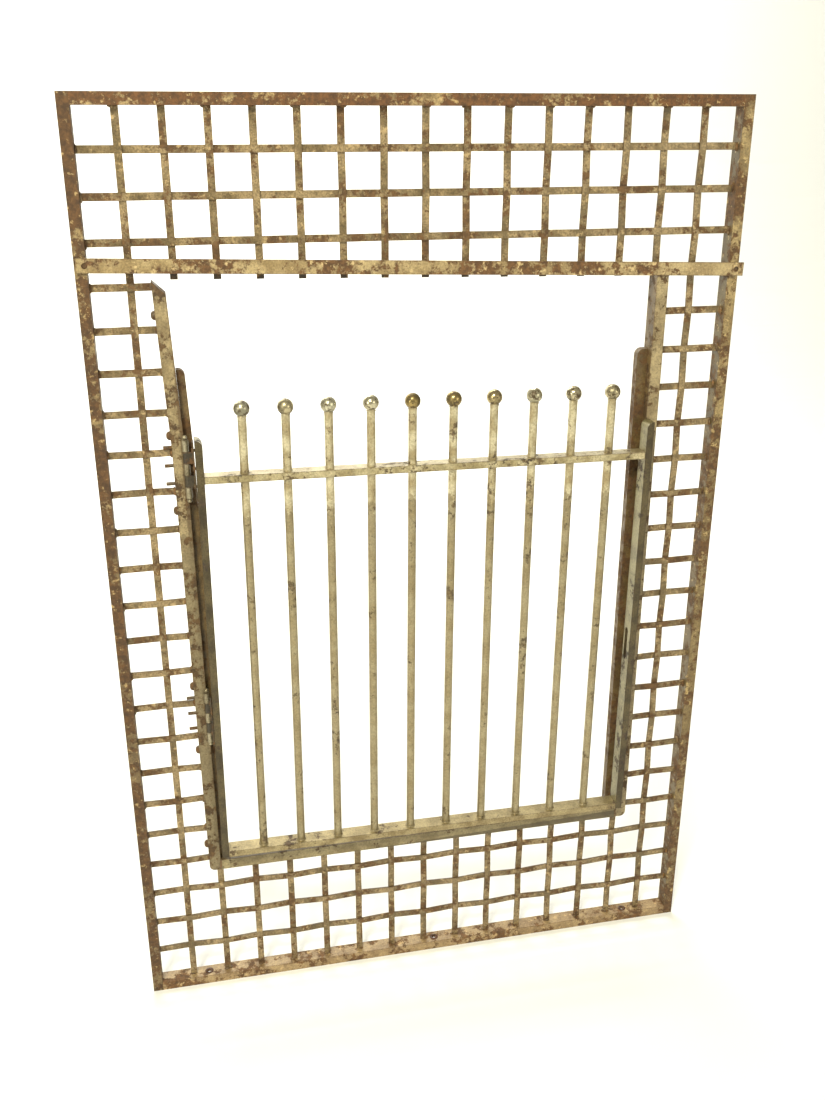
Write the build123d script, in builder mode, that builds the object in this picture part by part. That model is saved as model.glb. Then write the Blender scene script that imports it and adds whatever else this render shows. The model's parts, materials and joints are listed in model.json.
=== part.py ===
"""Window security bar: an angle-iron frame, a woven flat-bar lattice and a hinged gate of rods.

Units are millimetres. X runs to the right along the sill, Y runs into the wall and Z runs up.
The origin lies on the underside of the bottom leg, midway between its two outer screw holes.
"""

import os
from math import radians, tan

from build123d import *

# ---- Lattice -------------------------------------------------------------------------------
pitch = 50.8  # spacing of the flat bars, both ways
uprights = 15
rows = 23
strap_width = 9.0
strap_thick = 2.4
weave_offset = strap_thick / 2 + 0.025  # crossing straps just clear each other
weave_flat = 6.0  # half length of the flat part at each crossing
top_row_z = 1174.2
full_rows_above = (1, 2, 3)
full_rows_below = (21, 22, 23)

# ---- Outer angle-iron frame ----------------------------------------------------------------
frame_half = 402.4  # from the middle to the inner face of a stile
frame_flange = 14.0
frame_thick = 3.0
frame_front = -10.5
frame_back = 11.5
leg_top = frame_thick  # upper face of the bottom leg
top_leg = 1220.4  # lower face of the top leg
root_radius = 1.5  # where the flange meets the leg
sill_hole_radius = 2.75
sill_hole_x = 333.0
middle_hole_x = 17.0

# ---- Cross rail ----------------------------------------------------------------------------
rail_height = 16.8
rail_thick = 4.0
rail_left = (-414.0, 1049.3)
rail_right = (422.0, 1023.7)
plug_radius = 3.2
plug_height = 2.6
plug_from_left = 9.5
plug_from_right = 10.5
edge_break = 0.6  # worn edges of the rail and its rivets

# ---- Framed opening ------------------------------------------------------------------------
jamb_width = 16.0
jamb_front = -10.5
jamb_back = 13.5
jamb_base = 192.5
jamb_corner = 8.0
jamb_right_x = 320.0  # outer face of the straight jamb
jamb_right_top = 1031.0
jamb_left_base_x = -319.5  # outer face of the leaning jamb, at its foot
jamb_bend_z = 824.0
jamb_left_bend_x = -323.8
jamb_left_top = (-332.0, 1029.0)
jamb_mitre = 15.0
stub_drop = (9.3, 0.3)  # how far the cut uprights hang below the cross rail, left and right

# ---- Stop bars and their rivets ------------------------------------------------------------
stop_width_left = 10.5
stop_width_right = 14.0
stop_front = 1.5
stop_top = 922.0
stop_corner = 9.0
rivet_y = 7.5
rivet_z = (227.0, 385.0, 485.0, 739.0, 838.0, 987.0)
rivet_shank = 2.5
rivet_head = 5.75
rivet_rise = 5.0
dome_share = 0.9  # share of a head's rise that is rounded
head_clearance = 0.1  # between a head and a surface that leans away from it
fit = 0.05  # between parts that just clear each other

# ---- Hinges --------------------------------------------------------------------------------
hinge_z = {"lower": 447.5, "upper": 800.0}
hinge_height = 76.0
hinge_y = -15.5
hinge_from_jamb = 0.5  # axis, in from the jamb's inner face
barrel_radius = 4.0
pin_radius = 2.2
leaf_thick = 2.0
knuckle = hinge_height / 5
knuckle_gap = 0.2
pin_ball = 3.0
bolt_spacing = 23.5
bolt_shift = 3.0  # the bolts' middle, above the hinge's middle
bolt_y = 10.5  # behind the hinge axis
bolt_radius = 2.3
bolt_head = 4.0
bolt_rise = 1.3
bolt_reach = 10.5  # past the jamb's outer face
bolt_clearance = 0.3
fixed_leaf_y = (4.7, 16.5)  # front and back edges, from the hinge axis
moving_leaf_y = (-15.5, -3.2)
web_overlap = 1.0  # of a knuckle's web on its leaf
leaf_gap = 0.6  # from the moving leaf to the gate, which leans differently
leaf_rivet_y = -9.5
leaf_rivet = 2.0
leaf_rivet_clearance = 0.2
leaf_rivet_head = 3.4
leaf_rivet_rise = 1.2
ball_sink = 0.1  # how far a pin's ball overlaps its end

# ---- Gate ----------------------------------------------------------------------------------
gate_tilt = 0.4  # degrees, the gate has dropped on its latch side
gate_corner = (-300.5, 228.0)
gate_width = 603.0
gate_bar = 9.5
gate_front = -33.0
gate_back = -11.0
stile_left_height = 612.0
stile_right_height = 606.0
stile_corner = 8.5
crossbar_height = 560.5
crossbar_inset = 1.0  # from the gate's front and back faces
rod_count = 10
rod_spacing = 53.85
first_rod = 59.6
rod_radius = 5.6
rod_y = (gate_front + gate_back) / 2
ball_radius = 10.2
ball_height = 647.6
ball_socket = 6.0
slot_low = 250.2
slot_high = 299.7
slot_width = 8.5
slot_y = -19.8

os.makedirs("parts", exist_ok=True)


def upright_x(number):
    """Middle of an upright, counted from 1 at the left."""
    return (number - (uprights + 1) / 2) * pitch


def row_z(number):
    """Middle of a row, counted from 1 at the top."""
    return top_row_z - (number - 1) * pitch


def jamb_x(z):
    """Outer face of the leaning left jamb at a height."""
    if z <= jamb_bend_z:
        share = (z - jamb_base) / (jamb_bend_z - jamb_base)
        return jamb_left_base_x + share * (jamb_left_bend_x - jamb_left_base_x)
    share = (z - jamb_bend_z) / (jamb_left_top[1] - jamb_bend_z)
    return jamb_left_bend_x + share * (jamb_left_top[0] - jamb_left_bend_x)


def facing(back):
    """Plane seen from the front, at a depth, from which an extrusion comes forward."""
    return Plane.XZ.offset(-back)


def across(x):
    """Plane seen from the right, at a distance to the side."""
    return Plane.YZ.offset(x)


# ---- Outer frame ---------------------------------------------------------------------------
def outer_stile(side):
    """Angle iron with its leg beside the lattice and its flange turned outward."""
    depth = frame_back - frame_front
    with BuildPart() as stile:
        with BuildSketch(Plane.XY.offset(leg_top - frame_flange)):
            with Locations((side * (frame_half + frame_thick / 2), frame_front + depth / 2)):
                Rectangle(frame_thick, depth)
            with Locations((side * (frame_half + frame_flange / 2), frame_front + frame_thick / 2)):
                Rectangle(frame_flange, frame_thick)
        extrude(amount=top_leg - leg_top + 2 * frame_flange)
        root = (side * (frame_half + frame_thick), frame_front + frame_thick, (leg_top + top_leg) / 2)
        fillet(stile.edges().filter_by(Axis.Z).sort_by_distance(root)[0], root_radius)
    return stile.part


def outer_rail(inner_z, outward):
    """Angle iron between the stiles, its leg beside the lattice and its flange turned outward."""
    depth = frame_back - frame_front
    with BuildPart() as rail:
        with BuildSketch(across(-frame_half)):
            with Locations((frame_front + depth / 2, inner_z + outward * frame_thick / 2)):
                Rectangle(depth, frame_thick)
            with Locations((frame_front + frame_thick / 2, inner_z + outward * frame_flange / 2)):
                Rectangle(frame_thick, frame_flange)
        extrude(amount=2 * frame_half)
        root = (0, frame_front + frame_thick, inner_z + outward * frame_thick)
        fillet(rail.edges().filter_by(Axis.X).sort_by_distance(root)[0], root_radius)
    return rail.part


for side_name, side in (("left", -1), ("right", 1)):
    stile_part = outer_stile(side)
    stile_part.label = f"outer_stile_{side_name}"
    export_step(stile_part, f"parts/outer_stile_{side_name}.step")

outer_top_rail = outer_rail(top_leg, 1)
outer_top_rail.label = "outer_top_rail"
export_step(outer_top_rail, "parts/outer_top_rail.step")

with BuildPart() as outer_bottom_rail:
    add(outer_rail(leg_top, -1))
    with Locations((-sill_hole_x, 0, leg_top), (middle_hole_x, 0, leg_top), (sill_hole_x, 0, leg_top)):
        Hole(sill_hole_radius, depth=frame_thick)
outer_bottom_rail.part.label = "outer_bottom_rail"
export_step(outer_bottom_rail.part, "parts/outer_bottom_rail.step")


# ---- Woven lattice -------------------------------------------------------------------------
def weave_side(upright, row):
    """-1 where the upright passes in front of the row, 1 where it passes behind."""
    return -1 if (upright + row) % 2 == 0 else 1


def woven_outline(start, end, crossings, end_shift=0):
    """Closed outline of a strap that bends from crossing to crossing, as (along, depth) points."""
    middle = [(start, 0)]
    for place, side in crossings:
        middle.append((place - weave_flat, side * weave_offset))
        middle.append((place + weave_flat, side * weave_offset))
    middle.append((end, end_shift * weave_offset))
    front = [(along, depth - strap_thick / 2) for along, depth in middle]
    back = [(along, depth + strap_thick / 2) for along, depth in middle]
    return front + back[::-1]


def woven_upright(number, start, end, crossed, end_shift=0):
    """One upright strap, from start up to end, woven through the rows that it crosses."""
    crossings = [(row_z(row), weave_side(number, row)) for row in sorted(crossed, reverse=True)]
    outline = woven_outline(start, end, crossings, end_shift)
    with BuildPart() as strap:
        with BuildSketch(across(upright_x(number))):
            with BuildLine():
                Polyline([(depth, along) for along, depth in outline], close=True)
            make_face()
        extrude(amount=strap_width / 2, both=True)
    return strap.part


def woven_row(number, start, end, crossed):
    """One level strap, from start to end, woven through the uprights that it crosses."""
    crossings = [(upright_x(upright), -weave_side(upright, number)) for upright in crossed]
    with BuildPart() as strap:
        with BuildSketch(Plane.XY.offset(row_z(number))):
            with BuildLine():
                Polyline(woven_outline(start, end, crossings), close=True)
            make_face()
        extrude(amount=strap_width / 2, both=True)
    return strap.part


all_uprights = range(1, uprights + 1)
inner_uprights = range(2, uprights)
all_rows = range(1, rows + 1)
last_stub_row = min(full_rows_below) - 1
for side_name, number in (("left", 1), ("right", uprights)):
    upright_part = woven_upright(number, leg_top, top_leg, all_rows)
    upright_part.label = f"lattice_upright_{side_name}"
    export_step(upright_part, f"parts/lattice_upright_{side_name}.step")


def cut_end(number):
    """Cut lower end of an upper upright: just below the sloping cross rail, or on the right jamb."""
    if upright_x(number) + strap_width / 2 > jamb_right_x - jamb_width:
        return jamb_right_top
    share = (upright_x(number) - rail_left[0]) / (rail_right[0] - rail_left[0])
    rail_z = rail_left[1] + share * (rail_right[1] - rail_left[1]) - rail_height / 2
    return rail_z - stub_drop[0] - share * (stub_drop[1] - stub_drop[0])


with BuildPart() as lattice_uprights_upper:
    for number in inner_uprights:
        add(woven_upright(number, cut_end(number), top_leg, full_rows_above))
lattice_uprights_upper.part.label = "lattice_uprights_upper"
export_step(lattice_uprights_upper.part, "parts/lattice_uprights_upper.step")

with BuildPart() as lattice_uprights_lower:
    for number in inner_uprights:
        bent_to = weave_side(number, last_stub_row) / 2
        add(woven_upright(number, leg_top, jamb_base, full_rows_below, bent_to))
lattice_uprights_lower.part.label = "lattice_uprights_lower"
export_step(lattice_uprights_lower.part, "parts/lattice_uprights_lower.step")

for number in full_rows_above + full_rows_below:
    row_part = woven_row(number, -frame_half, frame_half, all_uprights)
    row_part.label = f"lattice_row_{number:02d}"
    export_step(row_part, f"parts/lattice_row_{number:02d}.step")

stub_rows = range(max(full_rows_above) + 1, last_stub_row + 1)
with BuildPart() as lattice_stubs_left:
    for number in stub_rows:
        add(woven_row(number, -frame_half, jamb_x(row_z(number) + strap_width / 2), [1]))
lattice_stubs_left.part.label = "lattice_stubs_left"
export_step(lattice_stubs_left.part, "parts/lattice_stubs_left.step")

with BuildPart() as lattice_stubs_right:
    for number in stub_rows:
        add(woven_row(number, jamb_right_x, frame_half, [uprights]))
lattice_stubs_right.part.label = "lattice_stubs_right"
export_step(lattice_stubs_right.part, "parts/lattice_stubs_right.step")

# ---- Cross rail ----------------------------------------------------------------------------
rail_slope = (rail_right[1] - rail_left[1]) / (rail_right[0] - rail_left[0])
rail_plane = Plane(
    origin=(rail_left[0], frame_front, rail_left[1]),
    x_dir=(1, 0, rail_slope),
    z_dir=(0, -1, 0),
)
rail_length = (Vector(*rail_right) - Vector(*rail_left)).length
plug_places = [(plug_from_left, 0), (rail_length - plug_from_right, 0)]

with BuildPart() as cross_rail:
    with BuildSketch(rail_plane):
        with Locations((rail_length / 2, 0)):
            Rectangle(rail_length, rail_height)
    extrude(amount=rail_thick)
    with BuildSketch(rail_plane):
        with Locations(*plug_places):
            Circle(plug_radius + fit)
    extrude(amount=rail_thick, mode=Mode.SUBTRACT)
    chamfer(cross_rail.faces().sort_by(Axis.Y)[0].outer_wire().edges(), edge_break)
cross_rail.part.label = "cross_rail"
export_step(cross_rail.part, "parts/cross_rail.step")

with BuildPart() as cross_rail_rivets:
    with BuildSketch(rail_plane):
        with Locations(*plug_places):
            Circle(plug_radius)
    extrude(amount=plug_height)
    fillet(cross_rail_rivets.faces().filter_by(Plane.XZ).group_by(Axis.Y)[0].edges(), edge_break)
cross_rail_rivets.part.label = "cross_rail_rivets"
export_step(cross_rail_rivets.part, "parts/cross_rail_rivets.step")


# ---- Framed opening ------------------------------------------------------------------------
def hinge_plane(name):
    """Frame of one hinge: its origin is on the pin and its Z runs along the leaning jamb."""
    z = hinge_z[name]
    axis_x = jamb_x(z) + jamb_width + hinge_from_jamb
    lean = (jamb_left_bend_x - jamb_left_base_x) / (jamb_bend_z - jamb_base)
    return Plane(origin=(axis_x, hinge_y, z), x_dir=(1, 0, -lean), z_dir=(lean, 0, 1))


def bolt_heights():
    """Bolts of one hinge, from its middle."""
    return (bolt_shift - bolt_spacing, bolt_shift, bolt_shift + bolt_spacing)


with BuildPart() as jamb_left:
    with BuildSketch(facing(jamb_back)):
        with BuildLine():
            Polyline(
                (jamb_left_base_x, jamb_base),
                (jamb_left_bend_x, jamb_bend_z),
                jamb_left_top,
                (jamb_left_top[0] + jamb_width, jamb_left_top[1] - jamb_mitre),
                (jamb_left_bend_x + jamb_width, jamb_bend_z),
                (jamb_left_base_x + jamb_width, jamb_base),
                close=True,
            )
        make_face()
    extrude(amount=jamb_back - jamb_front)
    foot = jamb_left.edges().filter_by(Axis.Y).sort_by_distance((jamb_left_base_x, 0, jamb_base))
    fillet(foot[0], jamb_corner)
    with BuildSketch(across(jamb_left_top[0])):
        with Locations(*[(rivet_y, z) for z in rivet_z]):
            Circle(rivet_shank + fit)
        for name in hinge_z:
            with Locations(*[(hinge_y + bolt_y, hinge_z[name] + dz) for dz in bolt_heights()]):
                Circle(bolt_radius + bolt_clearance)
    extrude(amount=2 * jamb_width, mode=Mode.SUBTRACT)
jamb_left.part.label = "jamb_left"
export_step(jamb_left.part, "parts/jamb_left.step")

with BuildPart() as jamb_right:
    with BuildSketch(facing(jamb_back)):
        with Locations((jamb_right_x - jamb_width / 2, (jamb_base + jamb_right_top) / 2)):
            Rectangle(jamb_width, jamb_right_top - jamb_base)
    extrude(amount=jamb_back - jamb_front)
    foot = jamb_right.edges().filter_by(Axis.Y).sort_by_distance((jamb_right_x, 0, jamb_base))
    fillet(foot[0], jamb_corner)
    with BuildSketch(across(jamb_right_x)):
        with Locations(*[(rivet_y, z) for z in rivet_z]):
            Circle(rivet_shank + fit)
    extrude(amount=-jamb_width, mode=Mode.SUBTRACT)
jamb_right.part.label = "jamb_right"
export_step(jamb_right.part, "parts/jamb_right.step")

sill_top = jamb_base + jamb_width
with BuildPart() as jamb_sill:
    with BuildSketch(facing(jamb_back)):
        with BuildLine():
            Polyline(
                (jamb_x(jamb_base) + jamb_width, jamb_base),
                (jamb_right_x - jamb_width, jamb_base),
                (jamb_right_x - jamb_width, sill_top),
                (jamb_x(sill_top) + jamb_width, sill_top),
                close=True,
            )
        make_face()
    extrude(amount=jamb_back - jamb_front)
jamb_sill.part.label = "jamb_sill"
export_step(jamb_sill.part, "parts/jamb_sill.step")

# ---- Stop bars -----------------------------------------------------------------------------
stop_rivet_z = [z for z in rivet_z if z < stop_top]

with BuildPart() as stop_left:
    with BuildSketch(facing(jamb_back)):
        left_face = [(jamb_x(z) + jamb_width, z) for z in (sill_top, jamb_bend_z, stop_top)]
        with BuildLine():
            Polyline(left_face + [(x + stop_width_left, z) for x, z in reversed(left_face)], close=True)
        make_face()
    extrude(amount=jamb_back - stop_front)
    tip = (jamb_x(stop_top) + jamb_width + stop_width_left, 0, stop_top)
    fillet(stop_left.edges().filter_by(Axis.Y).sort_by_distance(tip)[0], stop_corner)
    with BuildSketch(across(jamb_left_top[0])):
        with Locations(*[(rivet_y, z) for z in stop_rivet_z]):
            Circle(rivet_shank + fit)
    extrude(amount=3 * jamb_width, mode=Mode.SUBTRACT)
stop_left.part.label = "stop_left"
export_step(stop_left.part, "parts/stop_left.step")

with BuildPart() as stop_right:
    with BuildSketch(facing(jamb_back)):
        with Locations((jamb_right_x - jamb_width - stop_width_right / 2, (sill_top + stop_top) / 2)):
            Rectangle(stop_width_right, stop_top - sill_top)
    extrude(amount=jamb_back - stop_front)
    tip = (jamb_right_x - jamb_width - stop_width_right, 0, stop_top)
    fillet(stop_right.edges().filter_by(Axis.Y).sort_by_distance(tip)[0], stop_corner)
    with BuildSketch(across(jamb_right_x)):
        with Locations(*[(rivet_y, z) for z in stop_rivet_z]):
            Circle(rivet_shank + fit)
    extrude(amount=-2 * jamb_width, mode=Mode.SUBTRACT)
stop_right.part.label = "stop_right"
export_step(stop_right.part, "parts/stop_right.step")


def domed_rivet(face, length, radius, head_radius, rise):
    """Rivet on a plane's Z axis: a dome on the plane and a shank that runs back from it."""
    with BuildPart() as rivet:
        with Locations(face):
            Cylinder(radius, length, align=(Align.CENTER, Align.CENTER, Align.MAX))
            Cylinder(head_radius, rise, align=(Align.CENTER, Align.CENTER, Align.MIN))
        rims = rivet.edges().filter_by(GeomType.CIRCLE).sort_by(Axis(face.origin, face.z_dir))
        fillet(rims[-1], rise * dome_share)
    return rivet.part


def stop_rivets(outward):
    """The rivets that hold a stop bar to its jamb, their domes outside the jamb."""
    stop_width = stop_width_right if outward > 0 else stop_width_left
    with BuildPart() as rivets:
        for z in rivet_z:
            face_x = jamb_right_x if outward > 0 else jamb_x(z + rivet_head)
            slack = abs(jamb_x(z + rivet_head) - jamb_x(z - rivet_head)) + head_clearance
            through = jamb_width + (stop_width if z in stop_rivet_z else 0) - slack
            face = Plane(origin=(face_x, rivet_y, z), x_dir=(0, 1, 0), z_dir=(outward, 0, 0))
            add(domed_rivet(face, through, rivet_shank, rivet_head, rivet_rise))
    return rivets.part


for side_name, side in (("left", -1), ("right", 1)):
    rivet_part = stop_rivets(side)
    rivet_part.label = f"stop_rivets_{side_name}"
    export_step(rivet_part, f"parts/stop_rivets_{side_name}.step")


# ---- Gate frame ----------------------------------------------------------------------------
gate_right_dir = Vector(1, 0, -tan(radians(gate_tilt))).normalized()
gate_up_dir = Vector(tan(radians(gate_tilt)), 0, 1).normalized()


def gate_plane(back):
    """Front-facing plane of the dropped gate, its origin at the gate's lower left corner."""
    origin = (gate_corner[0], back, gate_corner[1])
    return Plane(origin=origin, x_dir=gate_right_dir, z_dir=(0, -1, 0))


def gate_point(along, up, y):
    """Place in the part's frame of a point that is given along and up the gate."""
    return Vector(gate_corner[0], y, gate_corner[1]) + gate_right_dir * along + gate_up_dir * up


def gate_face_gap(name):
    """Distance from a hinge's pin to the gate's outer face."""
    rise = hinge_z[name] - gate_corner[1]
    face_x = gate_corner[0] + rise * tan(radians(gate_tilt))
    return face_x - hinge_plane(name).origin.X


def leaf_outer(name):
    """How far from the pin the moving leaf's back lies, just short of the gate's face."""
    return gate_face_gap(name) - leaf_gap


def gate_stile(left_edge, height, rounded):
    """Flat bar on edge with its upper corner rounded on the side of the rods."""
    with BuildPart() as stile:
        with BuildSketch(gate_plane(gate_back)):
            with Locations((left_edge + gate_bar / 2, height / 2)):
                Rectangle(gate_bar, height)
        extrude(amount=gate_back - gate_front)
        tip = gate_point(rounded, height, (gate_front + gate_back) / 2)
        fillet(stile.edges().filter_by(Axis.Y).sort_by_distance(tip)[0], stile_corner)
    return stile.part


with BuildPart() as gate_stile_left:
    add(gate_stile(0, stile_left_height, gate_bar))
    for name in hinge_z:
        hinge = hinge_plane(name)
        side_plane = Plane(origin=hinge.origin, x_dir=(0, 1, 0), z_dir=hinge.x_dir)
        with BuildSketch(side_plane):
            with Locations(*[(leaf_rivet_y, dz) for dz in bolt_heights()]):
                Circle(leaf_rivet + leaf_rivet_clearance)
        extrude(amount=gate_face_gap(name) + 2 * gate_bar, mode=Mode.SUBTRACT)
gate_stile_left.part.label = "gate_stile_left"
export_step(gate_stile_left.part, "parts/gate_stile_left.step")

with BuildPart() as gate_stile_right:
    add(gate_stile(gate_width - gate_bar, stile_right_height, gate_width - gate_bar))
    slot_middle = gate_point(gate_width - gate_bar, (slot_low + slot_high) / 2, slot_y)
    with BuildSketch(Plane(origin=slot_middle, x_dir=gate_up_dir, z_dir=gate_right_dir)):
        SlotOverall(slot_high - slot_low, slot_width)
    extrude(amount=2 * gate_bar, both=True, mode=Mode.SUBTRACT)
gate_stile_right.part.label = "gate_stile_right"
export_step(gate_stile_right.part, "parts/gate_stile_right.step")

with BuildPart() as gate_bottom_rail:
    with BuildSketch(gate_plane(gate_back)):
        with Locations((gate_width / 2, gate_bar / 2)):
            Rectangle(gate_width - 2 * gate_bar, gate_bar)
    extrude(amount=gate_back - gate_front)
gate_bottom_rail.part.label = "gate_bottom_rail"
export_step(gate_bottom_rail.part, "parts/gate_bottom_rail.step")

rod_places = [first_rod + number * rod_spacing for number in range(rod_count)]
with BuildPart() as gate_crossbar:
    with BuildSketch(gate_plane(gate_back - crossbar_inset)):
        with Locations((gate_width / 2, crossbar_height)):
            Rectangle(gate_width - 2 * gate_bar, gate_bar)
    extrude(amount=gate_back - gate_front - 2 * crossbar_inset)
    with BuildSketch(Plane(origin=gate_point(0, 0, rod_y), x_dir=gate_right_dir, z_dir=gate_up_dir)):
        with Locations(*[(place, 0) for place in rod_places]):
            Circle(rod_radius + fit)
    extrude(amount=ball_height, mode=Mode.SUBTRACT)
gate_crossbar.part.label = "gate_crossbar"
export_step(gate_crossbar.part, "parts/gate_crossbar.step")

# ---- Gate rods and balls -------------------------------------------------------------------
for number, place in enumerate(rod_places, start=1):
    foot_plane = Plane(origin=gate_point(place, gate_bar, rod_y), x_dir=gate_right_dir, z_dir=gate_up_dir)
    with BuildPart() as gate_rod:
        with BuildSketch(foot_plane):
            Circle(rod_radius)
        extrude(amount=ball_height - ball_radius + ball_socket - gate_bar)
    gate_rod.part.label = f"gate_rod_{number:02d}"
    export_step(gate_rod.part, f"parts/gate_rod_{number:02d}.step")

    ball_plane = Plane(origin=gate_point(place, ball_height, rod_y), x_dir=gate_right_dir, z_dir=gate_up_dir)
    with BuildPart(ball_plane) as gate_ball:
        Sphere(ball_radius)
        with BuildSketch(ball_plane.offset(-2 * ball_radius)):
            Circle(rod_radius + fit)
        extrude(amount=ball_radius + ball_socket, mode=Mode.SUBTRACT)
    gate_ball.part.label = f"gate_ball_{number:02d}"
    export_step(gate_ball.part, f"parts/gate_ball_{number:02d}.step")


# ---- Hinges --------------------------------------------------------------------------------
def knuckle_spans(indices):
    """Lower end and length of the chosen knuckles, counted from 0 at the bottom of a hinge."""
    spans = []
    for index in indices:
        low = -hinge_height / 2 + index * knuckle + (knuckle_gap if index > 0 else 0)
        high = -hinge_height / 2 + (index + 1) * knuckle - (knuckle_gap if index < 4 else 0)
        spans.append((low, high - low))
    return spans


def hole_row(hinge, y):
    """Frames of the three holes across a leaf, one above the other."""
    return [
        Plane(origin=hinge.from_local_coords((0, y, dz)), x_dir=(0, 1, 0), z_dir=hinge.x_dir)
        for dz in bolt_heights()
    ]


def fixed_leaf(name):
    """Three knuckles and the leaf that lies on the jamb's inner face."""
    hinge = hinge_plane(name)
    leaf_front, leaf_back = fixed_leaf_y
    leaf_x = leaf_thick / 2 - hinge_from_jamb
    with BuildPart() as leaf:
        with BuildSketch(hinge.offset(-hinge_height / 2)):
            with Locations((leaf_x, (leaf_front + leaf_back) / 2)):
                Rectangle(leaf_thick, leaf_back - leaf_front)
        extrude(amount=hinge_height)
        for low, length in knuckle_spans((0, 2, 4)):
            with BuildSketch(hinge.offset(low)):
                Circle(barrel_radius)
                with Locations((leaf_x, (leaf_front + web_overlap) / 2)):
                    Rectangle(leaf_thick, leaf_front + web_overlap)
            extrude(amount=length)
        with Locations(hinge):
            Cylinder(pin_radius + fit, hinge_height, mode=Mode.SUBTRACT)
        with Locations(*hole_row(hinge, bolt_y)):
            Cylinder(bolt_radius + fit, 2 * barrel_radius, mode=Mode.SUBTRACT)
    return leaf.part


def moving_leaf(name):
    """Two knuckles, with webs out to the leaf that lies on the gate's outer face."""
    hinge = hinge_plane(name)
    reach = leaf_outer(name)
    leaf_front, leaf_back = moving_leaf_y
    with BuildPart() as leaf:
        with BuildSketch(hinge.offset(-hinge_height / 2)):
            with Locations((reach - leaf_thick / 2, (leaf_front + leaf_back) / 2)):
                Rectangle(leaf_thick, leaf_back - leaf_front)
        extrude(amount=hinge_height)
        for low, length in knuckle_spans((1, 3)):
            with BuildSketch(hinge.offset(low)):
                Circle(barrel_radius)
                with Locations((reach / 2, leaf_thick / 2 - barrel_radius)):
                    Rectangle(reach, leaf_thick)
            extrude(amount=length)
        with Locations(hinge):
            Cylinder(pin_radius + fit, hinge_height, mode=Mode.SUBTRACT)
        with Locations(*hole_row(hinge, leaf_rivet_y)):
            Cylinder(leaf_rivet + fit, 3 * reach, mode=Mode.SUBTRACT)
    return leaf.part


def hinge_pin(name):
    """Pin with a small ball at each end."""
    hinge = hinge_plane(name)
    with BuildPart() as pin:
        with BuildSketch(hinge.offset(-hinge_height / 2)):
            Circle(pin_radius)
        extrude(amount=hinge_height)
        for end in (-1, 1):
            with Locations(hinge.offset(end * (hinge_height / 2 + pin_ball - ball_sink))):
                Sphere(pin_ball)
    return pin.part


for name in hinge_z:
    for kind, make in (("fixed_leaf", fixed_leaf), ("moving_leaf", moving_leaf), ("pin", hinge_pin)):
        hinge_part = make(name)
        hinge_part.label = f"hinge_{name}_{kind}"
        export_step(hinge_part, f"parts/hinge_{name}_{kind}.step")

with BuildPart() as hinge_bolts:
    for name in hinge_z:
        hinge = hinge_plane(name)
        head_x = leaf_thick - hinge_from_jamb
        for dz in bolt_heights():
            face_at = hinge.from_local_coords((head_x, bolt_y, dz))
            face = Plane(origin=face_at, x_dir=(0, 1, 0), z_dir=hinge.x_dir)
            add(domed_rivet(face, leaf_thick + jamb_width + bolt_reach, bolt_radius, bolt_head, bolt_rise))
hinge_bolts.part.label = "hinge_bolts"
export_step(hinge_bolts.part, "parts/hinge_bolts.step")

with BuildPart() as gate_hinge_rivets:
    for name in hinge_z:
        hinge = hinge_plane(name)
        for dz in bolt_heights():
            face_at = hinge.from_local_coords((leaf_outer(name) - leaf_thick, leaf_rivet_y, dz))
            face = Plane(origin=face_at, x_dir=(0, 1, 0), z_dir=-hinge.x_dir)
            add(domed_rivet(face, leaf_thick + gate_bar, leaf_rivet, leaf_rivet_head, leaf_rivet_rise))
gate_hinge_rivets.part.label = "gate_hinge_rivets"
export_step(gate_hinge_rivets.part, "parts/gate_hinge_rivets.step")
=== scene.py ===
"""Window security bar: materials, welds, rust and the worn ball finials, with its camera and studio."""

import json
import math
import random

import bmesh
import bpy
from mathutils import Matrix, Vector, noise


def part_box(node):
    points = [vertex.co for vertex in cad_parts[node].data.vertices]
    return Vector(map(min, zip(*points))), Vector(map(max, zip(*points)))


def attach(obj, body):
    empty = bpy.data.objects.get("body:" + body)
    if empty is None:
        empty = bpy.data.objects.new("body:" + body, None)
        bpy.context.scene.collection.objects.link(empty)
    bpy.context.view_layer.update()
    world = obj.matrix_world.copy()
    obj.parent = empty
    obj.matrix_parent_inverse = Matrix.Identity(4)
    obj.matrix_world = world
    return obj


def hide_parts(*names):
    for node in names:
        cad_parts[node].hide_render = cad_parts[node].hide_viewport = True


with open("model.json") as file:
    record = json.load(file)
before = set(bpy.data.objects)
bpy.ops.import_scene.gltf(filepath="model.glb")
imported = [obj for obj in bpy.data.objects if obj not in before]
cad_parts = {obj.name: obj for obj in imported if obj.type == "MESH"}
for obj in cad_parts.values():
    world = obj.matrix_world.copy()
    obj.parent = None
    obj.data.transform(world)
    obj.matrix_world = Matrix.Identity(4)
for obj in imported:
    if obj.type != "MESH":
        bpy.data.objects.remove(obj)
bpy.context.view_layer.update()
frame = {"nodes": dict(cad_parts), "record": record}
nodes = frame["nodes"]
random.seed(7)

# Sizes of the CAD parts, in millimetres, that the welds and rims follow
MM = 0.001
PITCH = 50.8
UPRIGHTS = 15
ROWS = 23
STUB_ROWS = range(4, 21)
FRAME_HALF = 402.4
LEG_TOP = 3.0
TOP_LEG = 1220.4
TOP_ROW_Z = 1174.2
JAMB_RIGHT_X = 320.0
JAMB_RIGHT_WELD_Z = 1018.6
JAMB_LEFT_BASE_X = -319.5
JAMB_LEFT_BEND_X = -323.8
JAMB_LEFT_TOP_X = -332.0
JAMB_BEND_Z = 824.0
JAMB_TOP_Z = 1029.0
JAMB_WIDTH = 16.0
SILL_BASE = 192.5
SILL_TOP = 208.5
SCREW_HOLES = (-333.0, 17.0, 333.0)
SCREW_HOLE_RADIUS = 2.75
GATE_CORNER = (-300.5, 228.0)
GATE_TILT = math.radians(0.4)
ROD_COUNT = 10
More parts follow.
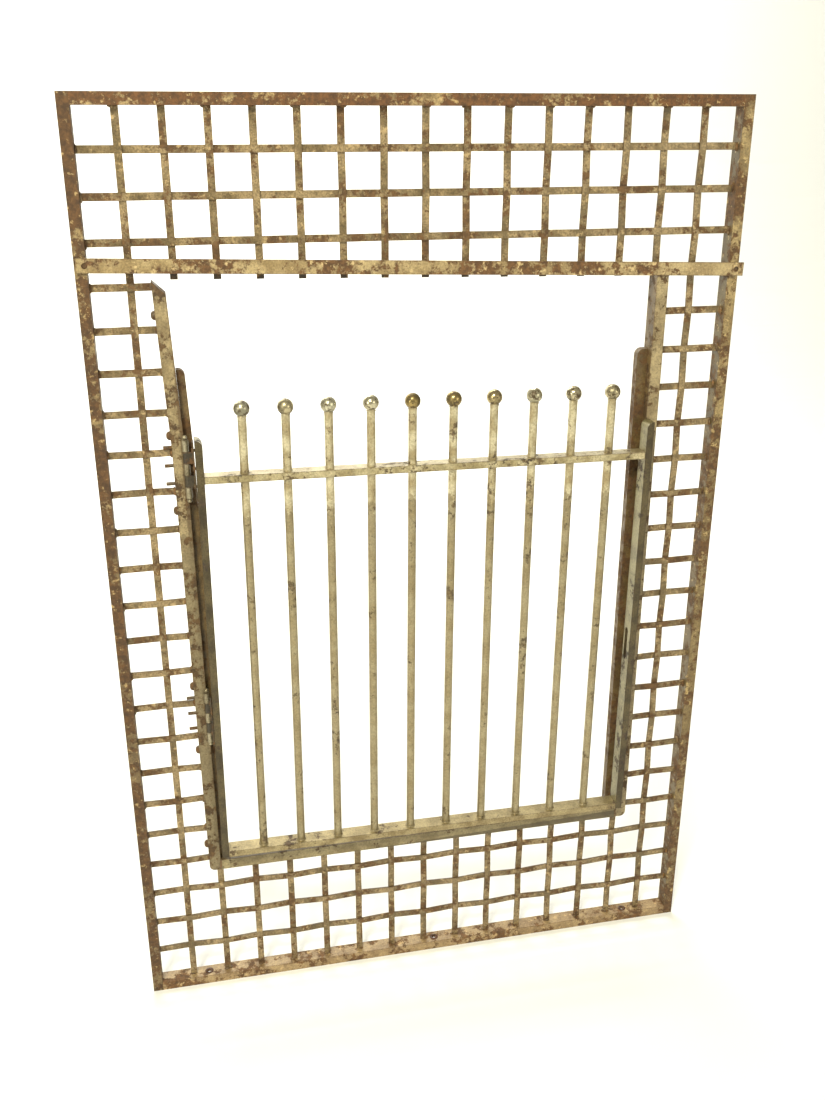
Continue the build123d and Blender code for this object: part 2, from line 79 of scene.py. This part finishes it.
FIRST_ROD = 59.6
ROD_SPACING = 53.85
ROD_Y = -22.0
ROD_FOOT = 9.5
BALL_FOOT = 637.9


# ---- Materials -----------------------------------------------------------------------------
class Shader:
    """A small wrapper that keeps the building of node materials short."""

    def __init__(self, name):
        self.material = bpy.data.materials.new(name)
        self.material.use_nodes = True
        self.tree = self.material.node_tree
        self.bsdf = self.tree.nodes["Principled BSDF"]
        self.place = self.add("ShaderNodeTexCoord").outputs["Object"]

    def add(self, kind, **values):
        node = self.tree.nodes.new(kind)
        for key, value in values.items():
            setattr(node, key, value)
        return node

    def link(self, source, target):
        self.tree.links.new(source, target)

    def noise(self, scale, detail=5.0, rough=0.6, shift=0.0):
        mapping = self.add("ShaderNodeMapping")
        mapping.inputs["Location"].default_value = (shift, shift * 1.7, -shift)
        self.link(self.place, mapping.inputs["Vector"])
        texture = self.add("ShaderNodeTexNoise")
        texture.inputs["Scale"].default_value = scale
        texture.inputs["Detail"].default_value = detail
        texture.inputs["Roughness"].default_value = rough
        self.link(mapping.outputs["Vector"], texture.inputs["Vector"])
        return texture.outputs["Fac"]

    def ramp(self, source, low, high):
        """0 below low and 1 above high."""
        node = self.add("ShaderNodeMapRange", interpolation_type="SMOOTHSTEP")
        node.inputs["From Min"].default_value = low
        node.inputs["From Max"].default_value = high
        self.link(source, node.inputs["Value"])
        return node.outputs["Result"]

    def math(self, operation, first, second):
        node = self.add("ShaderNodeMath", operation=operation, use_clamp=operation == "ADD")
        for socket, value in zip(node.inputs, (first, second)):
            if isinstance(value, (int, float)):
                socket.default_value = value
            else:
                self.link(value, socket)
        return node.outputs["Value"]

    def mix(self, amount, first, second):
        """Colour mix; each colour is a socket or an (r, g, b) in sRGB."""
        node = self.add("ShaderNodeMix", data_type="RGBA")
        self.link(amount, node.inputs["Factor"])
        for socket, value in zip((node.inputs[6], node.inputs[7]), (first, second)):
            if isinstance(value, tuple):
                socket.default_value = linear(value)
            else:
                self.link(value, socket)
        return node.outputs[2]

    def edges(self, width):
        """1 at the sharp edges of the metal, 0 on its flats."""
        bevel = self.add("ShaderNodeBevel", samples=4)
        bevel.inputs["Radius"].default_value = width * MM
        geometry = self.add("ShaderNodeNewGeometry")
        dot = self.add("ShaderNodeVectorMath", operation="DOT_PRODUCT")
        self.link(bevel.outputs["Normal"], dot.inputs[0])
        self.link(geometry.outputs["Normal"], dot.inputs[1])
        return self.ramp(self.math("SUBTRACT", 1.0, dot.outputs["Value"]), 0.01, 0.12)

    def front(self):
        """1 on the faces that look out of the wall, 0 on the others."""
        split = self.add("ShaderNodeSeparateXYZ")
        self.link(self.add("ShaderNodeTexCoord").outputs["Normal"], split.inputs["Vector"])
        return self.ramp(self.math("MULTIPLY", split.outputs["Y"], -1.0), 0.35, 0.75)

    def beyond(self, line, ragged=5.0):
        """1 on the far side of a line in the X-Z plane, (a, b, c) with aX + bZ > c in millimetres."""
        split = self.add("ShaderNodeSeparateXYZ")
        self.link(self.place, split.inputs["Vector"])
        along = self.math("MULTIPLY", split.outputs["X"], line[0])
        up = self.math("MULTIPLY", split.outputs["Z"], line[1])
        wander = self.math("MULTIPLY", self.math("SUBTRACT", self.noise(90, 5, 0.7), 0.5), ragged * MM)
        total = self.math("SUBTRACT", self.math("SUBTRACT", up, self.math("MULTIPLY", along, -1.0)), wander)
        return self.ramp(total, (line[2] - 1.0) * MM, (line[2] + 1.0) * MM)

    def finish(self, colour, rough, bump, metallic=0.0, bump_height=0.4):
        self.link(colour, self.bsdf.inputs["Base Color"])
        self.link(rough, self.bsdf.inputs["Roughness"])
        if isinstance(metallic, float):
            self.bsdf.inputs["Metallic"].default_value = metallic
        else:
            self.link(metallic, self.bsdf.inputs["Metallic"])
        node = self.add("ShaderNodeBump")
        node.inputs["Strength"].default_value = 0.7
        node.inputs["Distance"].default_value = bump_height * MM
        self.link(bump, node.inputs["Height"])
        self.link(node.outputs["Normal"], self.bsdf.inputs["Normal"])
        return self.material


def linear(colour):
    """sRGB 0-255 to the linear RGBA that shader sockets hold."""
    out = []
    for value in colour:
        part = value / 255
        out.append(part / 12.92 if part <= 0.04045 else ((part + 0.055) / 1.055) ** 2.4)
    return (*out, 1.0)


DARK_RUST = (66, 48, 29)
RUST = (104, 74, 43)
ORANGE_RUST = (130, 92, 50)


def old_paint(name, paint, paint_dark, rust_level, grime=0.5, rusts=(DARK_RUST, RUST), edge=1.6,
              metallic=0.0, rough=(0.45, 0.8), flecks=0.0, shift=0.0, chip_scale=90.0,
              patch_scale=26.0, side_shading=None, strips=()):
    """Old paint in two tones over rust: rust_level 0 to 1 is the share that has gone to rust.

    side_shading gives the two tones of the faces that don't look out of the wall: painted shade where they
    are darker than the front, painted light where they are lighter. Each of strips
    is (line, ragged, tone, strength): a tone that covers what lies beyond a line.
    """
    shader = Shader(name)
    tone = shader.ramp(shader.noise(38, 4, 0.6, shift=shift), 0.35, 0.65)
    colour = shader.mix(tone, paint, paint_dark)
    # Painted shading: faces that turn away from the front take the side_shading tones, painted shade where
    # these are darker than the front and painted light where they are lighter.
    if side_shading:
        colour = shader.mix(shader.front(), shader.mix(tone, *side_shading), colour)
    for line, ragged, cover, strength in strips:
        covered = shader.math("MULTIPLY", shader.beyond(line, ragged), strength)
        colour = shader.mix(covered, colour, cover)
    grain = shader.ramp(shader.noise(420, 5, 0.7, shift=shift + 3), 0.38, 0.66)
    soot = shader.math("MULTIPLY", grain, grime)
    colour = shader.mix(soot, colour, tuple(int(part * 0.52) for part in paint_dark))
    large = shader.noise(patch_scale, 6, 0.68, shift=shift + 5)
    small = shader.noise(chip_scale, 8, 0.72, shift=shift + 9)
    blend = shader.math("ADD", shader.math("MULTIPLY", large, 0.55), shader.math("MULTIPLY", small, 0.45))
    middle = 0.66 - 0.32 * rust_level
    chips = shader.ramp(blend, middle - 0.015, middle + 0.03)
    worn = shader.math("MULTIPLY", shader.edges(edge), shader.ramp(small, 0.36, 0.5))
    bare = shader.math("MAXIMUM", chips, worn)
    rust_tone = shader.ramp(shader.noise(150, 6, 0.7, shift=shift + 13), 0.35, 0.68)
    rust = shader.mix(rust_tone, rusts[0], rusts[1])
    colour = shader.mix(bare, colour, rust)
    if flecks:
        bright = shader.ramp(shader.noise(110, 7, 0.7, shift=shift + 21), 0.6 - 0.05 * flecks, 0.66)
        bright = shader.math("MULTIPLY", bright, 0.75)
        colour = shader.mix(bright, colour, tuple(min(255, int(part * 1.16)) for part in paint))
    fine = shader.noise(900, 4, 0.65, shift=shift)
    height = shader.math("ADD", shader.math("MULTIPLY", fine, 0.35),
                         shader.math("MULTIPLY", shader.math("SUBTRACT", 1.0, bare), 0.5))
    roughness = shader.math("ADD", rough[0], shader.math("MULTIPLY", bare, rough[1] - rough[0]))
    if metallic:
        shine = shader.math("MULTIPLY", shader.math("SUBTRACT", 1.0, bare), metallic)
        return shader.finish(colour, roughness, height, shine)
    return shader.finish(colour, roughness, height)


def nickel(name, shift, brass):
    """Worn bright plate: dark stains, scratches and brass that shows through."""
    shader = Shader(name)
    patina = shader.ramp(shader.noise(70, 5, 0.6, shift=shift), 0.4, 0.62)
    plate = tuple(int(a * (1 - brass) + b * brass) for a, b in zip((208, 202, 180), (156, 134, 86)))
    colour = shader.mix(patina, plate, tuple(int(part * 0.72) for part in plate))
    spots = shader.ramp(shader.noise(150, 6, 0.7, shift=shift + 4), 0.5, 0.6)
    colour = shader.mix(spots, colour, (74, 60, 38))
    fine = shader.noise(600, 5, 0.7, shift=shift)
    rough = shader.math("ADD", 0.2, shader.math("MULTIPLY", shader.math("ADD", spots, patina), 0.3))
    metal = shader.math("SUBTRACT", 0.95, shader.math("MULTIPLY", spots, 0.6))
    return shader.finish(colour, rough, fine, metal, bump_height=0.15)


# The side_shading pairs below paint shade on the faces turned away from the front; on the gate stiles they
# paint light on the inner faces.
MATERIALS = {
    "rusty_frame_paint": old_paint("rusty_frame_paint", (152, 130, 90), (106, 86, 56), 0.64, 0.6,
                                   ((64, 45, 28), (96, 67, 38)), flecks=0.5, patch_scale=16.0,
                                   side_shading=((108, 92, 54), (78, 64, 38)),
                                   strips=(((0.0, -1.0, -700.0), 260.0, (98, 78, 46), 0.6),)),
    "top_rail_paint": old_paint("top_rail_paint", (160, 136, 94), (116, 94, 60), 0.7, 0.6,
                                ((72, 49, 29), (108, 72, 40)), flecks=0.3, shift=1.5, patch_scale=20.0,
                                strips=(((0.0, -1.0, -1228.0), 3.0, (176, 152, 108), 0.6),)),
    "right_stile_paint": old_paint("right_stile_paint", (162, 140, 96), (120, 98, 60), 0.52, 0.6,
                                   ((70, 50, 30), (102, 72, 42)), flecks=0.4, shift=3.5,
                                   patch_scale=16.0, side_shading=((104, 88, 50), (76, 62, 36)),
                                   strips=(((0.0, -1.0, -800.0), 260.0, (112, 92, 56), 0.6),)),
    "cream_rail_paint": old_paint("cream_rail_paint", (176, 155, 114), (140, 118, 80), 0.52, 0.5,
                                  ((72, 50, 30), (108, 76, 44)), flecks=0.6, shift=2, patch_scale=14.0,
                                  side_shading=((120, 98, 66), (84, 64, 42))),
    "tan_lattice_paint": old_paint("tan_lattice_paint", (154, 132, 96), (106, 88, 56), 0.46, 0.7,
                                   ((72, 52, 31), (104, 75, 44)), flecks=0.9, shift=4,
                                   side_shading=((92, 74, 48), (66, 50, 34))),
    "tan_jamb_paint": old_paint("tan_jamb_paint", (162, 144, 108), (130, 112, 80), 0.42, 0.5,
                                ((64, 48, 30), (98, 73, 44)), edge=2.4, shift=6,
                                side_shading=((120, 98, 62), (82, 64, 42))),
    "tan_jamb_left": old_paint("tan_jamb_left", (162, 144, 108), (130, 112, 80), 0.46, 0.5,
                               ((64, 48, 30), (98, 73, 44)), edge=2.4, shift=6,
                               side_shading=((120, 98, 62), (82, 64, 42)),
                               strips=(((1.0, 0.0068, -307.2), 5.0, (94, 74, 48), 0.8),
                                       ((0.0, -1.0, -700.0), 260.0, (122, 108, 80), 0.75))),
    "sill_paint": old_paint("sill_paint", (156, 141, 104), (124, 108, 74), 0.24, 0.45,
                            ((58, 45, 31), (92, 70, 47)), edge=2.2, shift=7,
                            side_shading=((104, 88, 60), (76, 62, 42)),
                            strips=(((0.03, -1.0, -195.5), 3.0, (66, 54, 38), 0.7),)),
    "frame_bottom_paint": old_paint("frame_bottom_paint", (172, 146, 106), (136, 110, 76), 0.46, 0.45,
                                    ((76, 54, 33), (114, 80, 46)), flecks=0.6, shift=1, patch_scale=20.0),
    # The cut stub ends below the cross rail line are painted near-black: painted shade under the rail.
    "cut_upright_paint_and_shade": old_paint("cut_upright_paint_and_shade", (154, 132, 96), (106, 88, 56), 0.46, 0.7,
                                   ((72, 52, 31), (104, 75, 44)), flecks=0.9, shift=4,
                                   side_shading=((92, 74, 48), (66, 50, 34)),
                                   strips=(((-0.0306, -1.0, -1028.3), 1.0, (40, 28, 20), 0.92),)),
    "rust_brown_stop": old_paint("rust_brown_stop", (114, 92, 56), (86, 68, 40), 0.48, 0.5,
                                 ((66, 46, 26), (102, 72, 38)), shift=8, side_shading=((118, 94, 54), (88, 68, 38))),
    # Gate stiles: the dark front tones are painted shade, and the lighter side_shading tones are painted
    # light on the inner faces.
    "olive_gate_paint": old_paint("olive_gate_paint", (94, 82, 56), (66, 56, 38), 0.36, 0.5,
                                  ((44, 35, 26), (74, 57, 38)), edge=2.0, shift=10, metallic=0.35,
                                  rough=(0.34, 0.7), side_shading=((148, 138, 100), (120, 110, 78))),
    "gate_rail_paint": old_paint("gate_rail_paint", (172, 156, 118), (132, 114, 80), 0.32, 0.45,
                                 ((58, 45, 30), (92, 70, 46)), edge=1.6, shift=11, metallic=0.45,
                                 rough=(0.32, 0.7), side_shading=((166, 150, 110), (134, 119, 84))),
    "silver_rod_paint": old_paint("silver_rod_paint", (212, 201, 170), (166, 149, 114), 0.3, 0.42,
                                  ((62, 50, 34), (108, 88, 58)), edge=1.2, shift=12, metallic=0.5,
                                  rough=(0.3, 0.6), chip_scale=140.0,
                                  strips=(((0.0, -1.0, -740.0), 160.0, (134, 119, 88), 0.7),)),
    "crossbar_paint": old_paint("crossbar_paint", (206, 192, 156), (166, 150, 112), 0.3, 0.5,
                                ((50, 40, 28), (98, 78, 48)), edge=2.4, shift=13, metallic=0.6,
                                rough=(0.28, 0.6), chip_scale=120.0, side_shading=((190, 176, 138), (150, 132, 96))),
    "zinc_hinge": old_paint("zinc_hinge", (172, 162, 138), (134, 122, 98), 0.24, 0.5,
                            ((58, 46, 34), (94, 70, 46)), shift=14, metallic=0.6, rough=(0.35, 0.7)),
    "dark_hinge": old_paint("dark_hinge", (70, 60, 42), (46, 38, 28), 0.4, 0.5, shift=16),
    "rusty_fasteners": old_paint("rusty_fasteners", (104, 84, 58), (72, 56, 38), 0.55, 0.5,
                                 (DARK_RUST, RUST), shift=18, chip_scale=200.0),
    "rim_rust": old_paint("rim_rust", (92, 56, 36), (66, 38, 26), 0.55, 0.6,
                          ((48, 30, 20), (84, 50, 30)), shift=19, chip_scale=200.0),
    "weld_rust": old_paint("weld_rust", (134, 110, 76), (90, 70, 48), 0.5, 0.6,
                           (DARK_RUST, ORANGE_RUST), shift=20, chip_scale=200.0),
}
MATERIAL_OF_NODE = {
    "outer_top_rail": "top_rail_paint",
    "outer_stile_right": "right_stile_paint",
    "jamb_left": "tan_jamb_left",
    "jamb_sill": "sill_paint",
    "outer_bottom_rail": "frame_bottom_paint",
    "lattice_uprights_upper": "cut_upright_paint_and_shade",
    "gate_bottom_rail": "gate_rail_paint",
    "gate_crossbar": "crossbar_paint",
}
BALL_BRASS = (0.1, 0.4, 0.1, 0.2, 0.95, 0.9, 0.65, 0.2, 0.3, 0.4)
for number, brass in enumerate(BALL_BRASS, start=1):
    MATERIALS[f"ball_{number:02d}"] = nickel(f"worn_nickel_{number:02d}", number * 5.3, brass)

slot_of = {part["node"]: part["material_slot"] for part in frame["record"]["subparts"]}


def dress(name, material):
    """Give a CAD node its material and soften its edges as worn bar stock is soft."""
    node = nodes[name]
    node.data.materials.clear()
    node.data.materials.append(material)
    bevel = node.modifiers.new("worn_edges", "BEVEL")
    bevel.width = 0.35 * MM
    bevel.segments = 2
    bevel.limit_method = "ANGLE"
    bevel.angle_limit = math.radians(40)
    bevel.use_clamp_overlap = True


for node_name, slot_name in slot_of.items():
    look = MATERIAL_OF_NODE.get(node_name, slot_name)
    if look in MATERIALS:
        dress(node_name, MATERIALS[look])


# ---- Shapes that stand for or join the CAD nodes -------------------------------------------
def new_piece(name, mesh_data, material, body, replaced=()):
    """Put a bmesh into the scene as a smooth piece that rides on a body."""
    mesh = bpy.data.meshes.new(name)
    mesh_data.to_mesh(mesh)
    mesh_data.free()
    for face in mesh.polygons:
        face.use_smooth = True
    mesh.materials.append(material)
    piece = bpy.data.objects.new(name, mesh)
    bpy.context.collection.objects.link(piece)
    if replaced:
        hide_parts(*replaced)
    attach(piece, body)
    return piece


def blob(target, centre, radii, seed, lump=0.28, detail=2):
    """Add one lumpy drop of metal to a bmesh; centre and radii are in millimetres."""
    made = bmesh.ops.create_icosphere(target, subdivisions=detail, radius=1.0)
    for vertex in made["verts"]:
        shape = vertex.co.copy()
        swell = 1 + lump * noise.noise(shape * 1.7 + Vector((seed * 3.1, seed * 1.3, -seed)))
        vertex.co = Vector(c + s * swell * r for c, s, r in zip(centre, shape, radii)) * MM


def upright_x(number):
    """Middle of an upright, counted from 1 at the left."""
    return (number - (UPRIGHTS + 1) / 2) * PITCH


def row_z(number):
    """Middle of a row, counted from 1 at the top."""
    return TOP_ROW_Z - (number - 1) * PITCH


def jamb_x(z):
    """Outer face of the leaning left jamb."""
    if z <= JAMB_BEND_Z:
        share = (z - SILL_BASE) / (JAMB_BEND_Z - SILL_BASE)
        return JAMB_LEFT_BASE_X + share * (JAMB_LEFT_BEND_X - JAMB_LEFT_BASE_X)
    share = (z - JAMB_BEND_Z) / (JAMB_TOP_Z - JAMB_BEND_Z)
    return JAMB_LEFT_BEND_X + share * (JAMB_LEFT_TOP_X - JAMB_LEFT_BEND_X)


def lattice_welds():
    """Beads where the flat bars end on the angle iron, the jambs and the sill."""
    beads = bmesh.new()
    seed = 1
    for number in range(1, UPRIGHTS + 1):
        x = upright_x(number)
        ends = [(LEG_TOP, 1), (TOP_LEG, -1)]
        if 1 < number < UPRIGHTS:
            ends.append((SILL_BASE, -1))
        for z, way in ends:
            seed += 1
            size = random.uniform(0.45, 0.85)
            centre = (x + random.uniform(-2.5, 2.5), -1.2, z + way * 0.6)
            blob(beads, centre, (5.6 * size, 3.0 * size, 2.2 * size), seed)
            if random.random() < 0.4:
                spatter = (x + random.choice((-4.5, 4.5)), 0.5, z + way * 0.5)
                blob(beads, spatter, (3.0, 2.4, 1.8), seed + 0.5)
    for number in range(1, ROWS + 1):
        z = row_z(number)
        ends = [(-FRAME_HALF, 1), (FRAME_HALF, -1)]
        if number in STUB_ROWS:
            ends += [(jamb_x(z), -1), (JAMB_RIGHT_X, 1)]
        for x, way in ends:
            seed += 1
            size = random.uniform(0.7, 1.2)
            centre = (x + way * 0.6, -1.0, z + random.uniform(-2, 2))
            blob(beads, centre, (2.2 * size, 3.0 * size, 5.4 * size), seed)
    return new_piece("lattice_weld_beads", beads, MATERIALS["weld_rust"], "frame")


def jamb_welds():
    """Beads at the opening's lower corners and where the right jamb meets the cross rail."""
    beads = bmesh.new()
    seed = 200
    spacing = 3.2
    for x in (jamb_x(SILL_TOP) + JAMB_WIDTH, JAMB_RIGHT_X - JAMB_WIDTH):
        for step in range(5):
            seed += 1
            height = SILL_BASE + 2 + step * spacing
            blob(beads, (x + random.uniform(-0.5, 0.5), -10.4, height), (1.8, 1.1, 2.4), seed)
    for step in range(5):
        seed += 1
        centre = (JAMB_RIGHT_X - 2 - step * spacing, -10.7, JAMB_RIGHT_WELD_Z + step * 0.1)
        blob(beads, centre, (2.4, 1.6, 1.8), seed)
    return new_piece("opening_weld_beads", beads, MATERIALS["weld_rust"], "frame")


def gate_welds():
    """Beads at the feet of the rods, and under the balls, on the gate."""
    beads = bmesh.new()
    seed = 400
    for number in range(ROD_COUNT):
        along = FIRST_ROD + number * ROD_SPACING
        for up, radius, tall in ((ROD_FOOT, 7.1, 1.6), (BALL_FOOT, 6.4, 1.3)):
            seed += 1
            x = GATE_CORNER[0] + along * math.cos(GATE_TILT) + up * math.sin(GATE_TILT)
            z = GATE_CORNER[1] - along * math.sin(GATE_TILT) + up * math.cos(GATE_TILT)
            blob(beads, (x, ROD_Y, z), (radius, radius, tall), seed, 0.2)
    return new_piece("gate_weld_collars", beads, MATERIALS["silver_rod_paint"], "gate")


def screw_rims():
    """A raised, rusty lip round each screw hole in the bottom leg."""
    rims = bmesh.new()
    steps = 28
    profile = ((SCREW_HOLE_RADIUS, LEG_TOP), (3.2, 3.7), (4.8, 3.6), (6.6, 2.9))
    for index, x in enumerate(SCREW_HOLES):
        rings = []
        for ring, (radius, height) in enumerate(profile):
            loop = []
            for step in range(steps):
                angle = step * math.tau / steps
                way = Vector((math.cos(angle), math.sin(angle), index))
                reach = radius * (1 + 0.1 * noise.noise(way)) if ring > 1 else radius
                place = Vector((x + reach * way.x, reach * way.y, height)) * MM
                loop.append(rims.verts.new(place))
            rings.append(loop)
        for inner, outer in zip(rings, rings[1:] + rings[:1]):
            for step in range(steps):
                after = (step + 1) % steps
                rims.faces.new((inner[step], outer[step], outer[after], inner[after]))
    return new_piece("screw_hole_rims", rims, MATERIALS["rim_rust"], "frame")


def ball(number):
    """A hollow brass finial: a sphere with a seam and small dents, its lowest points held near the foot of
    the CAD ball.
    """
    name = f"gate_ball_{number:02d}"
    low, high = (Vector(corner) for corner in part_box(name))
    radius = (high.x - low.x) / 2
    centre = Vector(((low.x + high.x) / 2, (low.y + high.y) / 2, high.z - radius))
    shape = bmesh.new()
    bmesh.ops.create_icosphere(shape, subdivisions=5, radius=1.0)
    dents = [(Vector([random.gauss(0, 1) for _ in range(3)]).normalized(), random.uniform(0.92, 0.97))
             for _ in range(5)]
    for vertex in shape.verts:
        way = vertex.co.normalized()
        reach = 1 - 0.012 * math.exp(-((way.z + 0.05) / 0.02) ** 2)
        for dent, width in dents:
            near = max(0.0, (way.dot(dent) - width) / (1 - width))
            reach -= 0.03 * near * near
        reach += 0.006 * noise.noise(way * 2.3 + Vector((number, 0, 0)))
        vertex.co = centre + way * radius * reach
        if way.z < -0.86:
            vertex.co.z = max(vertex.co.z, low.z - 0.4 * MM)
    return new_piece(f"ball_finial_{number:02d}", shape, MATERIALS[f"ball_{number:02d}"], "gate",
                     (name,))


lattice_welds()
jamb_welds()
gate_welds()
screw_rims()
for number in range(1, ROD_COUNT + 1):
    ball(number)


# ---- Studio --------------------------------------------------------------------------------
def plain_stage():
    """A pale floor that curves up into a pale wall, far enough back to walk round the grille."""
    shader = Shader("studio_white")
    shader.bsdf.inputs["Base Color"].default_value = (0.86, 0.86, 0.86, 1)
    shader.bsdf.inputs["Roughness"].default_value = 0.9
    shader.bsdf.inputs["Specular IOR Level"].default_value = 0.1
    floor_z = -0.011
    reach = 6.0
    bend_start = 2.41
    bend_radius = 1.2
    bend_steps = 12
    wall_top = 5.0
    profile = [(-reach, floor_z), (bend_start - 0.01, floor_z)]
    for step in range(bend_steps + 1):
        angle = step / bend_steps * math.pi / 2
        rise = bend_radius * (1 - math.cos(angle))
        profile.append((bend_start + bend_radius * math.sin(angle), floor_z + rise))
    profile.append((bend_start + bend_radius, wall_top))
    sweep = bmesh.new()
    lines = []
    for x in (-reach, reach):
        lines.append([sweep.verts.new((x, y, z)) for y, z in profile])
    for step in range(len(profile) - 1):
        sweep.faces.new((lines[0][step], lines[1][step], lines[1][step + 1], lines[0][step + 1]))
    mesh = bpy.data.meshes.new("studio_sweep")
    sweep.to_mesh(mesh)
    sweep.free()
    mesh.materials.append(shader.material)
    floor = bpy.data.objects.new("studio_sweep", mesh)
    bpy.context.collection.objects.link(floor)


def area_light(name, place, aim, size, power, colour):
    """A square light at a place, aimed at a point, both in metres."""
    light = bpy.data.lights.new(name, "AREA")
    light.shape = "SQUARE"
    light.size = size
    light.energy = power
    light.color = colour
    lamp = bpy.data.objects.new(name, light)
    lamp.location = place
    lamp.rotation_euler = (Vector(aim) - Vector(place)).to_track_quat("-Z", "Y").to_euler()
    bpy.context.collection.objects.link(lamp)


def studio_camera():
    """A camera a little to the left of the grille and above its top, looking down at it."""
    data = bpy.data.cameras.new("camera")
    data.sensor_fit = "VERTICAL"
    data.sensor_height = 36.0
    data.lens = 35.69
    camera = bpy.data.objects.new("camera", data)
    right = Vector((0.977, -0.212, -0.001)).normalized()
    back = Vector((-0.197, -0.911, 0.363)).normalized()
    up = back.cross(right).normalized()
    right = up.cross(back)
    turn = Matrix((right, up, back)).transposed().to_4x4()
    camera.matrix_world = Matrix.Translation((-0.3082, -1.3476, 1.1990)) @ turn
    bpy.context.collection.objects.link(camera)
    bpy.context.scene.camera = camera


plain_stage()
studio_camera()
area_light("key", (-1.1, -2.1, 2.9), (0.0, 0.0, 0.5), 0.55, 105, (1.0, 0.965, 0.76))
area_light("fill", (2.0, -2.6, 1.4), (0.0, 0.0, 0.6), 1.6, 24, (1.0, 0.98, 0.8))
area_light("left", (-2.4, -1.6, 1.2), (0.0, 0.0, 0.6), 1.0, 18, (1.0, 0.98, 0.8))
area_light("backdrop", (0.0, 1.9, 3.0), (0.0, 3.4, 0.7), 1.6, 110, (1.0, 0.985, 0.9))
area_light("back_fill", (-1.2, 2.6, 2.4), (0.0, 0.0, 0.6), 1.6, 22, (1.0, 0.98, 0.85))
world = bpy.data.worlds.new("studio")
world.use_nodes = True
world.node_tree.nodes["Background"].inputs["Color"].default_value = (1.0, 0.985, 0.82, 1)
world.node_tree.nodes["Background"].inputs["Strength"].default_value = 0.46
bpy.context.scene.world = world
bpy.context.scene.view_settings.view_transform = "Standard"
